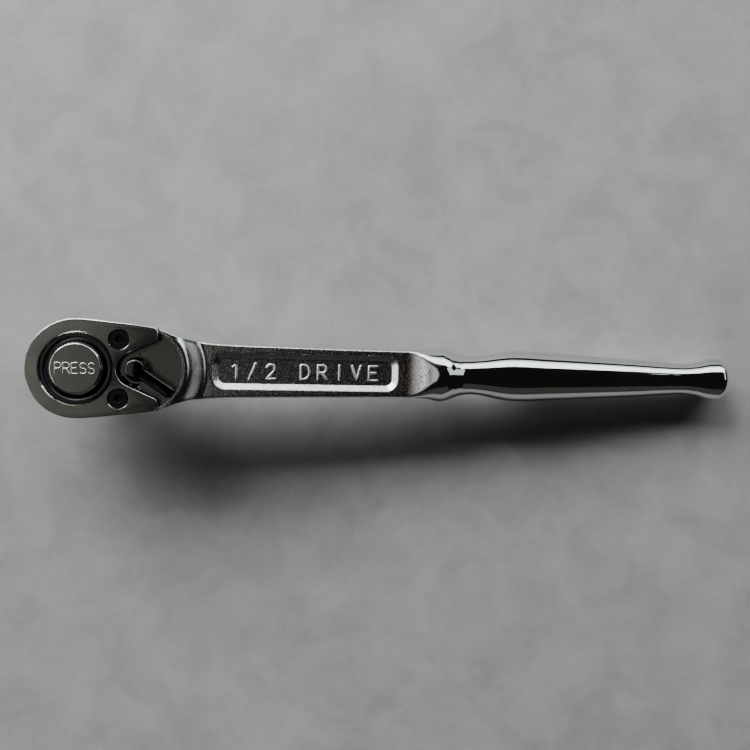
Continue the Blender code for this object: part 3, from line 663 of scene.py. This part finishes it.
def make_forged_body(chrome, floor_steel):
    """One forging: the lofted body with its nose turned on, less all its cuts."""
    build = bmesh.new()
    loops = []
    for x in body_stations():
        right = section_points(x)
        left = [(-y, z) for y, z in reversed(right[1:-1])]
        loops.append(add_loop(build, [(x, y, z) for y, z in right + left]))
    loft(build, loops)
    bmesh.ops.edgeloop_fill(build, edges=loops[-1])
    nose = [e for e in loops[0] if all(v.co.y > -0.01 * MM for v in e.verts)]
    nose_verts = list({v for e in nose for v in e.verts})
    bmesh.ops.spin(
        build, geom=nose_verts + nose, cent=(0, 0, 0), axis=(0, 0, 1), dvec=(0, 0, 0),
        angle=math.pi, steps=64, use_merge=False, use_duplicate=False,
    )
    bmesh.ops.remove_doubles(build, verts=build.verts, dist=0.001 * MM)
    body = piece("forged_body", build, [chrome, floor_steel])

    wide = 2 * HEAD_RADIUS
    rim_start = HORN_END + 0.4 * MM
    sweep = math.acos((rim_start - POCKET_CENTRE) / POCKET_RADIUS)
    seat = arc((POCKET_CENTRE, 0), POCKET_RADIUS, -sweep, sweep, 96)
    seat += [Vector((rim_start, wide)), Vector((-wide, wide))]
    seat += [Vector((-wide, -wide)), Vector((rim_start, -wide))]
    above = HEAD_TOP + MM
    bearing = LOWER_JOURNAL + 0.15 * MM
    bore = [(CHAMBER_RADIUS, above), (CHAMBER_RADIUS, CHAMBER_FLOOR)]
    bore += [(bearing, CHAMBER_FLOOR), (bearing, HEAD_BOTTOM + 0.3 * MM)]
    bore += [(bearing + 0.7 * MM, HEAD_BOTTOM - 0.4 * MM), (bearing + 0.7 * MM, HEAD_BOTTOM - MM)]
    pocket = [(PAWL_POCKET_RADIUS, above), (PAWL_POCKET_RADIUS, CHAMBER_FLOOR + 0.5 * MM)]
    gap = 0.2 * MM
    stem = [(STEM_RADIUS + gap, above), (STEM_RADIUS + gap, STEM_BOTTOM - gap)]
    stem += [(2.4 * MM, STEM_BOTTOM - gap), (2.4 * MM, 18.4 * MM)]
    swing = abs(LEVER_REST) + math.radians(4)
    recess = extruded(flange_outline(gap, LOBE_HALF_ANGLE + swing), FLANGE_BOTTOM - gap, above)
    bmesh.ops.translate(recess, verts=recess.verts, vec=PIVOT)
    steps = [
        ("DIFFERENCE", piece("seat", extruded(seat, SEAT, SEAT + wide))),
        ("DIFFERENCE", piece("bore", turned(bore))),
        ("DIFFERENCE", piece("pocket", turned(pocket, 96, (PAWL_POCKET_CENTRE, 0, 0)))),
        ("DIFFERENCE", piece("stem", turned(stem, 96, PIVOT))),
        ("DIFFERENCE", piece("recess", recess)),
    ]
    for side in (1, -1):
        radius = SCREW_RADIUS + 0.15 * MM
        hole = turned([(radius, above), (radius, 29.5 * MM)], 32,
                      (SCREW_X, side * SCREW_Y, 0))
        steps.append(("DIFFERENCE", piece(f"tapped_{side}", hole)))
        steps.append(("DIFFERENCE", panel_plug(side)))
    carve(body, *steps)
    near = 0.01 * MM
    for face in body.data.polygons:
        in_pocket = face.center.x < NECK_END and abs(face.center.z - SEAT) < near
        if in_pocket and face.normal.z > 0.9:
            face.material_index = 1
    return body


# ---------------------------------------------------------------- cover and screws

def plate_half_outline():
    """Upper half of the plate's outline, from the nose round the horn to the notch."""
    points = arc((0, 0), HEAD_RADIUS, math.pi, math.pi / 2, 64)
    corner = 2.0 * MM
    last = HORN_END - corner
    count = 20
    for i in range(1, count):
        x = last * i / count
        points.append(Vector((x, through(HALF_WIDTH, x))))
    side = through(HALF_WIDTH, last)
    points += arc((last, side - corner), corner, math.pi / 2, 0, 16)
    tangent = NOTCH_ANGLE + math.pi / 2
    wall_start = NOTCH_CENTRE + polar(NOTCH_RADIUS, tangent)
    inner = 1.2 * MM
    centre_x = HORN_END - inner
    run = centre_x - wall_start.x + inner * math.sin(NOTCH_ANGLE)
    centre_y = wall_start.y + run * math.tan(NOTCH_ANGLE) + inner * math.cos(NOTCH_ANGLE)
    points += arc((centre_x, centre_y), inner, 0, NOTCH_ANGLE - math.pi / 2, 10)
    points += arc(NOTCH_CENTRE, NOTCH_RADIUS, tangent, math.pi, 24)
    return points


def make_head_cover(satin, edge):
    """Flush cover with a chamfered bore, two countersinks and the lever's notch."""
    half = plate_half_outline()
    build = extruded(half + mirrored(half[1:-1]), PLATE_BOTTOM, HEAD_TOP)
    bevel(build, edges_at(build, HEAD_TOP), 0.4 * MM, 4)
    plate = piece("head_cover", build, [satin, edge])
    above = HEAD_TOP + MM
    profile = [(13.5 * MM, above), (12.5 * MM, HEAD_TOP), (12.1 * MM, HEAD_TOP - 0.4 * MM)]
    profile.append((12.1 * MM, PLATE_BOTTOM - MM))
    steps = [("DIFFERENCE", piece("bore", turned(profile, 128)))]
    through_hole = SCREW_RADIUS + 0.35 * MM
    profile = [(4.0 * MM, HEAD_TOP + 0.35 * MM), (COUNTERSINK_RADIUS, HEAD_TOP - 0.2 * MM)]
    profile += [(COUNTERSINK_RADIUS, 37.6 * MM), (through_hole, 35.85 * MM)]
    profile.append((through_hole, PLATE_BOTTOM - MM))
    for side in (1, -1):
        hole = turned(profile, 64, (SCREW_X, side * SCREW_Y, 0))
        steps.append(("DIFFERENCE", piece(f"countersink_{side}", hole)))
    carve(plate, *steps)
    tint_slopes(plate, 1)
    return plate


def make_screw(name, side, black):
    """Countersunk screw with a hexagon socket and a cut thread."""
    top = screw_high.z
    bottom = screw_low.z
    head = [(3.0 * MM, top), (3.25 * MM, top - 0.2 * MM), (SCREW_RADIUS, top - 1.95 * MM)]
    root = SCREW_RADIUS - 0.3 * MM
    profile = rounded(head, 0.1 * MM)
    z = top - 2.6 * MM
    while z - THREAD_PITCH > bottom + 0.5 * MM:
        profile += [(SCREW_RADIUS, z), (root, z - THREAD_PITCH * 0.45),
                    (root, z - THREAD_PITCH * 0.55)]
        z -= THREAD_PITCH
    profile += [(SCREW_RADIUS, z), (SCREW_RADIUS, bottom + 0.4 * MM), (1.1 * MM, bottom)]
    spot = (SCREW_X, side * SCREW_Y, 0)
    screw = piece(name, turned(profile, 48, spot), [black])
    across_flats = 2.5 * MM
    turn = 0.3
    hexagon = arc((SCREW_X, side * SCREW_Y), across_flats / math.sqrt(3),
                  turn, turn + math.tau * 5 / 6, 5)
    build = extruded(hexagon, top - 1.6 * MM, top + MM)
    lead = turned([(1.9 * MM, top + 0.35 * MM), (1.15 * MM, top - 0.35 * MM)], 48, spot)
    return carve(screw, ("DIFFERENCE", piece("hexagon", build)),
                 ("DIFFERENCE", piece("lead", lead)))


# ---------------------------------------------------------------- drive and release

def gear_outline():
    points = []
    root_half, tip_half = 3.0, 0.75       # half angles of a tooth in degrees
    for tooth in range(TOOTH_COUNT):
        middle = math.tau * tooth / TOOTH_COUNT
        for radius, offset in ((TOOTH_ROOT_RADIUS, -root_half), (TOOTH_TIP_RADIUS, -tip_half),
                               (TOOTH_TIP_RADIUS, tip_half), (TOOTH_ROOT_RADIUS, root_half)):
            points.append(polar(radius, middle + math.radians(offset)))
    return points


def square_outline(half, corner, steps=12):
    points = []
    inner = half - corner
    for turn in range(4):
        start = turn * math.pi / 2
        centre = Matrix.Rotation(start, 2) @ Vector((inner, inner))
        points += arc(centre, corner, start, start + math.pi / 2, steps)
    return points


def make_toothed_drive(black):
    """Gear teeth, both journals and the drive square, with the bores of the release."""
    gear = piece("toothed_drive", extruded(gear_outline(), TOOTH_BOTTOM, TOOTH_TOP), [black])
    profile = [(8.2 * MM, RING_DISH), (9.3 * MM, RING_DISH), (10.7 * MM, RING_TOP)]
    profile += [(UPPER_JOURNAL, RING_TOP), (UPPER_JOURNAL, SHOULDER_TOP)]
    profile += [(SHOULDER_RADIUS, SHOULDER_TOP), (SHOULDER_RADIUS, SHOULDER_BOTTOM)]
    profile += [(LOWER_JOURNAL, SHOULDER_BOTTOM), (LOWER_JOURNAL, GEAR_FOOT)]
    profile.append((LOWER_JOURNAL - MM, GEAR_FOOT))
    journals = piece("journals", turned(rounded(profile, 0.25 * MM), 128), [black])
    square = extruded(square_outline(SQUARE / 2, 1.3 * MM), 0, GEAR_FOOT + MM)
    bevel(square, edges_at(square, 0), 0.8 * MM, 4)
    button_floor, spring_floor, rod_floor = 32.2 * MM, 26.0 * MM, 1.8 * MM
    spring_bore, rod_bore = 5.6 * MM, 2.65 * MM
    profile = [(BUTTON_BORE + 1.3 * MM, 37.6 * MM), (BUTTON_BORE + 0.2 * MM, RING_DISH)]
    profile += [(BUTTON_BORE, 36.3 * MM), (BUTTON_BORE, button_floor)]
    profile += [(spring_bore, button_floor), (spring_bore, spring_floor)]
    profile += [(rod_bore, spring_floor), (rod_bore, rod_floor)]
    hole = turned([(2.5 * MM, 0.0), (2.5 * MM, -6.15 * MM), (2.75 * MM, -6.6 * MM)], 64)
    aim = Matrix.Rotation(math.radians(-90), 3, "X")
    bmesh.ops.rotate(hole, verts=hole.verts, cent=(0, 0, 0), matrix=aim)
    bmesh.ops.translate(hole, verts=hole.verts, vec=(0, 0, BALL_HEIGHT))
    carve(gear, ("UNION", journals), ("UNION", piece("square", square, [black])),
          ("DIFFERENCE", piece("release_bore", turned(profile, 128))),
          ("DIFFERENCE", piece("ball_hole", hole)))
    return gear


def make_release_button(satin, edge):
    """Button with a bright chamfer, open underneath for the rod's head."""
    low = button_low.z
    side = BUTTON_RADIUS
    profile = [(7.9 * MM, BUTTON_TOP), (8.2 * MM, BUTTON_TOP), (side, BUTTON_TOP - 0.7 * MM)]
    profile += [(side, low), (side - MM, low)]
    button = piece("release_button", turned(rounded(profile, 0.16 * MM), 128), [satin, edge])
    seat = turned([(2.45 * MM, 37.2 * MM), (2.45 * MM, low - MM)], 48)
    carve(button, ("DIFFERENCE", piece("rod_seat", seat)))
    for face in button.data.polygons:
        if face.center.z > 37.5 * MM and 0.15 < face.normal.z < 0.98:
            face.material_index = 1
    return button


def make_socket_ball(steel):
    build = bmesh.new()
    radius = (ball_high.x - ball_low.x) / 2
    bmesh.ops.create_uvsphere(build, u_segments=64, v_segments=32, radius=radius)
    centre = (0, (ball_low.y + ball_high.y) / 2, BALL_HEIGHT)
    bmesh.ops.translate(build, verts=build.verts, vec=centre)
    return piece("socket_ball", build, [steel])


# ---------------------------------------------------------------- thumb lever

def flange_outline(gap=0.0, half_angle=LOBE_HALF_ANGLE):
    """Round flange whose lobe, away from the rib, stays trapped under the cover."""
    lobe = arc((0, 0), LOBE_RADIUS + gap, math.pi - half_angle, math.pi + half_angle, 48)
    rest = arc((0, 0), FLANGE_RADIUS + gap, half_angle - math.pi, math.pi - half_angle, 64)
    return lobe + rest


def rib_outline():
    root, tip, corner = 2.05 * MM, 1.95 * MM, 1.0 * MM
    start = 0.5 * MM
    end = LEVER_REACH - corner
    points = [Vector((start, -root))]
    points += arc((end, corner - tip), corner, -math.pi / 2, 0, 8)
    points += arc((end, tip - corner), corner, 0, math.pi / 2, 8)
    points.append(Vector((start, root)))
    return points


def make_thumb_lever(black, satin):
    """Domed boss with its stem, the trapped flange and the rib that the thumb pushes."""
    profile = [(0.6 * MM, BOSS_TOP), (BOSS_RADIUS, BOSS_TOP - 0.1 * MM)]
    profile += [(BOSS_RADIUS, 37.3 * MM), (4.2 * MM, 36.3 * MM), (4.2 * MM, FLANGE_TOP)]
    profile += [(STEM_RADIUS, FLANGE_TOP), (STEM_RADIUS, STEM_BOTTOM)]
    profile += [(2.2 * MM, STEM_BOTTOM), (2.2 * MM, 18.6 * MM), (1.5 * MM, 18.6 * MM)]
    lever = piece("thumb_lever", turned(rounded(profile, BOSS_DOME, 8), 96), [black, satin])
    flange = piece("flange", extruded(flange_outline(), FLANGE_BOTTOM, FLANGE_TOP), [satin])
    rib = extruded(rib_outline(), SEAT + 0.5 * MM, RIB_TOP)
    bevel(rib, edges_at(rib, RIB_TOP), 0.8 * MM, 5)
    aim = Matrix.Rotation(math.radians(-90), 3, "Y")
    hole = turned([(1.4 * MM, 6.1 * MM), (1.4 * MM, 0.0)], 48)
    bmesh.ops.rotate(hole, verts=hole.verts, cent=(0, 0, 0), matrix=aim)
    bmesh.ops.translate(hole, verts=hole.verts, vec=(1.9 * MM, 0, 27.4 * MM))
    carve(lever, ("UNION", flange), ("UNION", piece("rib", rib, [black])),
          ("DIFFERENCE", piece("hole", hole)))
    lever.data.transform(Matrix.Translation(PIVOT) @ Matrix.Rotation(LEVER_REST, 4, "Z"))
    return lever


# ---------------------------------------------------------------- raised markings

def stroke_font():
    """Plain stroke letters in a box one unit high, as lists of strokes of points."""
    def curve(cx, cy, rx, ry, start, end, steps=10):
        turn = math.radians(end - start) / steps
        first = math.radians(start)
        return [(cx + rx * math.cos(first + turn * i), cy + ry * math.sin(first + turn * i))
                for i in range(steps + 1)]

    stem = [(0.0, 0.0), (0.0, 1.0)]
    bowl = [(0.0, 1.0), (0.3, 1.0), *curve(0.3, 0.74, 0.28, 0.26, 90, -90), (0.0, 0.48)]
    return {
        "1": [[(0.1, 0.78), (0.32, 1.0), (0.32, 0.0)]],
        "2": [[*curve(0.3, 0.7, 0.28, 0.3, 160, -30), (0.02, 0.0), (0.6, 0.0)]],
        "/": [[(0.0, -0.05), (0.45, 1.05)]],
        "D": [[(0.0, 0.0), (0.0, 1.0), (0.2, 1.0), *curve(0.2, 0.5, 0.4, 0.5, 90, -90),
               (0.0, 0.0)]],
        "E": [[(0.56, 1.0), (0.0, 1.0), (0.0, 0.0), (0.56, 0.0)], [(0.0, 0.52), (0.46, 0.52)]],
        "I": [[(0.3, 0.0), (0.3, 1.0)]],
        "P": [stem, bowl],
        "R": [stem, bowl, [(0.28, 0.48), (0.6, 0.0)]],
        "S": [[*curve(0.3, 0.74, 0.27, 0.26, 30, 270, 12),
               *curve(0.3, 0.25, 0.28, 0.25, 80, -150, 12)]],
        "V": [[(0.0, 1.0), (0.3, 0.0), (0.6, 1.0)]],
    }


def add_stroke(build, path, radius, z):
    """A round bead along a path, with round ends, half sunk in the surface."""
    sides, cap_steps = 10, 4
    narrowest = 0.05
    spots = []
    for i, here in enumerate(path):
        along = (path[min(i + 1, len(path) - 1)] - path[max(i - 1, 0)]).normalized()
        spots.append((here, along, Vector((-along.y, along.x))))
    turns = [math.pi / 2 * i / cap_steps for i in range(cap_steps)]
    rings = []
    first, along, across = spots[0]
    for turn in turns:
        size = radius * max(math.sin(turn), narrowest)
        rings.append((first - along * radius * math.cos(turn), across, size))
    rings += [(here, across, radius) for here, _, across in spots]
    last, along, across = spots[-1]
    for turn in reversed(turns):
        size = radius * max(math.sin(turn), narrowest)
        rings.append((last + along * radius * math.cos(turn), across, size))
    loops = []
    for spot, across, size in rings:
        spokes = [polar(size, math.tau * (k + 0.5) / sides) for k in range(sides)]
        loops.append(add_loop(build, [
            (spot.x + across.x * spoke.x, spot.y + across.y * spoke.x, z + spoke.y)
            for spoke in spokes]))
    loft(build, loops)
    bmesh.ops.edgeloop_fill(build, edges=loops[0])
    bmesh.ops.edgeloop_fill(build, edges=loops[-1])


def subdivided(points, parts=3):
    """The same path with each of its stretches cut into equal parts."""
    path = [Vector(p) for p in points]
    finer = [path[0]]
    for start, end in zip(path, path[1:]):
        for i in range(1, parts + 1):
            finer.append(start.lerp(end, i / parts))
    return finer


def write(name, text, centre, height, pitch, radius, z, material):
    """A line of raised stroke letters centred on a place, letters a pitch apart."""
    font = stroke_font()
    build = bmesh.new()
    middle = Vector((0.3, 0.5))
    for i, letter in enumerate(text):
        spot = Vector(centre) + Vector(((i - (len(text) - 1) / 2) * pitch, 0))
        for stroke in font.get(letter, []):
            path = [spot + (p - middle) * height for p in subdivided(stroke)]
            add_stroke(build, path, radius, z)
    return piece(name, build, [material], sharp=50)


def make_button_marking(material):
    return write("button_marking", "PRESS", (0, 0), 3.6 * MM, 2.7 * MM,
                 0.21 * MM, BUTTON_TOP - 0.05 * MM, material)


# ---------------------------------------------------------------- inner pieces

def make_smooth_copy(name, node, material):
    """The CAD node's own shape with its loose triangles joined and shaded smooth."""
    build = bmesh.new()
    build.from_mesh(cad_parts[node].data)
    bmesh.ops.remove_doubles(build, verts=build.verts, dist=0.002 * MM)
    return piece(name, build, [material], sharp=34)


# ---------------------------------------------------------------- stage

# The tool leans on the drive square's edge and on the knob, so the floor slopes
# up along the handle in the frame of the tool.
EDGE_X = 5.55 * MM
KNOB_X = 227.5 * MM
LEAN = math.atan2(HANDLE_AXIS - KNOB_RADIUS, KNOB_X - EDGE_X)
ALONG = Vector((math.cos(LEAN), 0, math.sin(LEAN)))
UP = Vector((-math.sin(LEAN), 0, math.cos(LEAN)))
ACROSS = Vector((0, 1, 0))
TOUCH = Vector((EDGE_X, 0, 0))
CAMERA_HEIGHT = 307 * MM
CAMERA_ALONG = 103.4 * MM
CAMERA_ACROSS = -0.5 * MM
CAMERA_ROLL = math.radians(1.0)
FOCAL = 38.6
WINDOW_DISTANCE = 1.15


def on_floor(along, across, height):
    """A place measured from the floor: along the handle from the drive axis, across, up."""
    return TOUCH + ALONG * (along - TOUCH.dot(ALONG)) + ACROSS * across + UP * height


def basis(right, up, back, spot):
    turn = Matrix((right, up, back)).transposed().to_4x4()
    return Matrix.Translation(spot) @ turn


def make_camera():
    data = bpy.data.cameras.new("camera")
    data.sensor_width = 36
    data.lens = FOCAL
    data.clip_start = 0.01
    camera = bpy.data.objects.new("camera", data)
    bpy.context.scene.collection.objects.link(camera)
    right = ALONG * math.cos(CAMERA_ROLL) + ACROSS * math.sin(CAMERA_ROLL)
    up = ACROSS * math.cos(CAMERA_ROLL) - ALONG * math.sin(CAMERA_ROLL)
    spot = on_floor(CAMERA_ALONG, CAMERA_ACROSS, CAMERA_HEIGHT)
    camera.matrix_world = basis(right, up, UP, spot)
    bpy.context.scene.camera = camera


def make_floor():
    build = bmesh.new()
    bmesh.ops.create_grid(build, x_segments=1, y_segments=1, size=3.0)
    bmesh.ops.transform(build, verts=build.verts,
                        matrix=basis(ALONG, ACROSS, UP, on_floor(0, 0, 0)))
    material, tree, shader = new_material("pale_floor", (0.5, 0.5, 0.48), 0.6, 0.0,
                                          **{"Specular IOR Level": 0.2})
    place = tree.nodes.new("ShaderNodeTexCoord")
    cloud = add_node(tree, "ShaderNodeTexNoise", [
        ("Vector", place.outputs["Object"]), ("Scale", 45.0), ("Detail", 9.0),
        ("Roughness", 0.68), ("Distortion", 0.5)])
    shade = add_node(tree, "ShaderNodeMapRange", [
        ("Value", cloud.outputs["Fac"]), ("From Min", 0.34), ("From Max", 0.66)])
    tone = blend_colour(tree, shade.outputs["Result"], (0.39, 0.378, 0.358), (0.51, 0.5, 0.485))
    tree.links.new(tone, shader.inputs["Base Color"])
    floor = piece("floor", build, [material])


def make_light(name, spot, aim, size, glow, colour):
    """A soft panel of a width and height that faces a place, with a radiance in W/m2/sr."""
    data = bpy.data.lights.new(name, "AREA")
    data.shape = "RECTANGLE"
    data.size, data.size_y = size
    data.energy = glow * math.pi * size[0] * size[1]
    data.color = colour
    light = bpy.data.objects.new(name, data)
    bpy.context.scene.collection.objects.link(light)
    back = (spot - aim).normalized()
    right = UP.cross(back).normalized()
    light.matrix_world = basis(right, back.cross(right), back, spot)
    return light


def make_window(name, along, width, low, high, glow):
    """A pane of the window beyond the tool, between two elevations in degrees."""
    middle = math.radians((low + high) / 2)
    height = 2 * WINDOW_DISTANCE * math.tan(math.radians(high - low) / 2)
    aim = on_floor(along, 0, 15 * MM)
    away = ACROSS * math.cos(middle) + UP * math.sin(middle)
    spot = aim + away * WINDOW_DISTANCE
    make_light(name, spot, aim, (width, height), glow, (0.93, 0.98, 1.0))


def make_lights():
    make_window("bright_pane", -0.9, 1.6, 20, 47, 13.0)
    make_window("dim_pane", 0.7, 1.6, 20, 47, 3.2)
    make_window("window_sill", -0.1, 3.2, 12, 20, 1.2)
    middle = on_floor(100 * MM, 0, 20 * MM)
    make_light("far_wall", on_floor(0.1, -1.6, 0.55), middle, (2.6, 0.95), 0.04,
               (1.0, 0.95, 0.86))
    cards = [
        ("ceiling", (-0.6, 0, 1.7), (1.3, 0.75), 0.52, (1.0, 0.99, 0.92)),
        ("left_card", (-1.5, 0, 1.2), (1.6, 0.7), 3.0, (0.97, 0.99, 1.0)),
        ("right_card", (1.72, 0.5, 1.2), (1.0, 0.55), 1.0, (0.92, 0.97, 1.0)),
    ]
    for name, spot, size, glow, colour in cards:
        card = make_light(name, on_floor(*spot), middle, size, glow, colour)
        card.visible_diffuse = False
    world = bpy.data.worlds.new("room")
    world.use_nodes = True
    sky = world.node_tree.nodes["Background"]
    sky.inputs["Color"].default_value = (1.0, 0.95, 0.88, 1.0)
    sky.inputs["Strength"].default_value = 0.007
    bpy.context.scene.world = world


# ---------------------------------------------------------------- assembly

def settle(made, body, slot, *nodes):
    """Hangs a piece on its body and hides the CAD nodes that it stands for; the slot argument is
    not used.
    """
    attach(made, body)
    if nodes:
        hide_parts(*nodes)


def main():
    make_camera()
    make_floor()
    make_lights()
    marks = make_smudge_group()
    peel = make_peel_group()
    chrome = chrome_forging(marks, peel)
    satin = satin_plating(marks, peel, "satin_plating", 0.04 * MM)
    cast = satin_plating(marks, peel, "cast_pocket", 0.25 * MM)
    edge = buffed_metal(marks, "polished_edge", (0.86, 0.86, 0.84), 0.12)
    black = turned_black("turned_black", (0.045, 0.045, 0.048), 0.24, 5200.0)
    screw_black = turned_black("screw_black", (0.025, 0.025, 0.027), 0.3, 5200.0)
    lever_black = dark_chrome(marks, peel)
    steel = ground_steel(marks)
    settle(make_forged_body(chrome, cast), "body", "polished_chrome", "handle_body")
    worn_letters = buffed_metal(marks, "worn_letters", (0.72, 0.72, 0.73), 0.32)
    lettering = write("shank_lettering", "1/2 DRIVE", (76.5 * MM, 0), 5.0 * MM, 6.0 * MM,
                      0.5 * MM, HANDLE_AXIS + SHANK_HALF_THICKNESS - PANEL_DEPTH, worn_letters)
    settle(lettering, "body", "polished_chrome")
    settle(make_head_cover(satin, edge), "body", "satin_steel", "cover_plate")
    for number, side in ((1, 1), (2, -1)):
        screw = make_screw(f"socket_screw_{number}", side, screw_black)
        settle(screw, "body", "black_steel", f"cover_screw_{number}")
    settle(make_toothed_drive(black), "drive", "black_steel", "drive_gear")
    settle(make_release_button(satin, edge), "release", "satin_steel", "push_button")
    settle(make_button_marking(worn_letters), "release", "satin_steel")
    settle(make_socket_ball(steel), "ball", "bright_steel", "drive_ball")
    settle(make_thumb_lever(lever_black, satin), "lever", "black_chrome", "reverse_lever")
    inner = [
        ("ramped_rod", "release_rod", "release", "bright_steel", steel),
        ("coil_spring", "button_spring", "drive", "bright_steel", steel),
        ("sprung_plunger", "detent_plunger", "detent", "bright_steel", steel),
        ("plunger_spring", "detent_spring", "lever", "bright_steel", steel),
        ("rocking_pawl", "pawl", "pawl", "black_steel", black),
    ]
    for name, node, body, slot, material in inner:
        made = make_smooth_copy(name, node, material)
        settle(made, body, slot, node)
        if node == "button_spring":
            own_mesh(made)


main()
